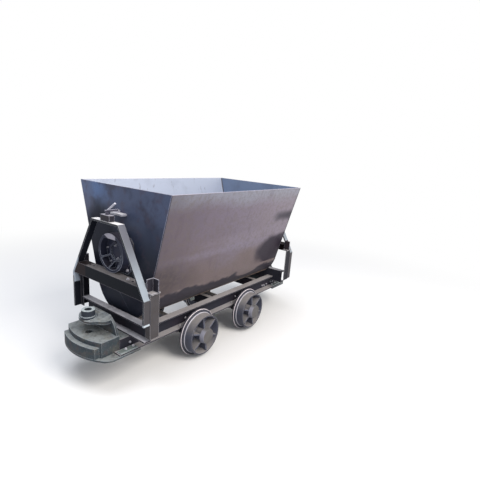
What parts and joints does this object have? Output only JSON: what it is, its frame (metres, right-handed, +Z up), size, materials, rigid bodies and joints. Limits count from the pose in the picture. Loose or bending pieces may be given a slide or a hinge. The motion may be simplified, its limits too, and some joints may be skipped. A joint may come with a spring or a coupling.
{
  "type": "bucket tipping ore cart",
  "caption": "Mine cart for a narrow track: an open steel hopper that rolls on rockers between trapezoid end frames, on a channel frame with flanged wheels and coupling buffers.",
  "frame": {"origin": "on the floor under the middle of the cart, at the lowest point of the wheel flanges", "axes": "+X along the track towards the rear end, +Y to the left across the track, +Z up"},
  "size_m": [2.194, 0.89, 1.215],
  "materials": {
    "hopper_paint": "worn gloss paint",
    "frame_paint": "worn paint, dusty",
    "cast_steel": "rough casting, dusty",
    "bare_steel": "worn bright"
  },
  "bodies": {
    "frame": {"sole_bar_left": "frame_paint", "sole_bar_right": "frame_paint", "cross_members": "frame_paint", "headstock_front": "frame_paint", "corner_posts_front": "frame_paint", "stop_angles_front": "frame_paint", "end_frame_front": "frame_paint", "crossbar_front": "frame_paint", "buffer_front": "cast_steel", "buffer_foot_front": "frame_paint", "latch_block_front": "frame_paint", "latch_lever_front": "bare_steel", "pedestals_front": "cast_steel", "headstock_rear": "frame_paint", "corner_posts_rear": "frame_paint", "stop_angles_rear": "frame_paint", "end_frame_rear": "frame_paint", "crossbar_rear": "frame_paint", "buffer_rear": "cast_steel", "buffer_foot_rear": "frame_paint", "latch_block_rear": "frame_paint", "latch_lever_rear": "bare_steel", "pedestals_rear": "cast_steel", "buffer_straps": "frame_paint"},
    "hopper": {"side_plate_left": "hopper_paint", "side_plate_right": "hopper_paint", "trough_plate": "hopper_paint", "end_plate_front": "hopper_paint", "rocker_pad_front": "hopper_paint", "rocker_front": "cast_steel", "latch_keeper_front": "bare_steel", "end_plate_rear": "hopper_paint", "rocker_pad_rear": "hopper_paint", "rocker_rear": "cast_steel", "latch_keeper_rear": "bare_steel"},
    "wheelset_front": {"axle_front": "bare_steel", "wheel_front_left": "cast_steel", "wheel_front_right": "cast_steel", "hub_caps_front": "frame_paint"},
    "wheelset_rear": {"axle_rear": "bare_steel", "wheel_rear_left": "cast_steel", "wheel_rear_right": "cast_steel", "hub_caps_rear": "frame_paint"}
  },
  "joints": [
    {"name": "hopper_tip", "type": "hinge", "parent": "frame", "child": "hopper", "pos_m": [0, 0, 0.8053], "axis": [1, 0, 0], "range_deg": [-42, 42]},
    {"name": "front_wheels_turn", "type": "hinge", "parent": "frame", "child": "wheelset_front", "pos_m": [-0.3, 0, 0.175], "axis": [0, 1, 0], "continuous": true},
    {"name": "rear_wheels_turn", "type": "hinge", "parent": "frame", "child": "wheelset_rear", "pos_m": [0.3, 0, 0.175], "axis": [0, 1, 0], "continuous": true}
  ]
}
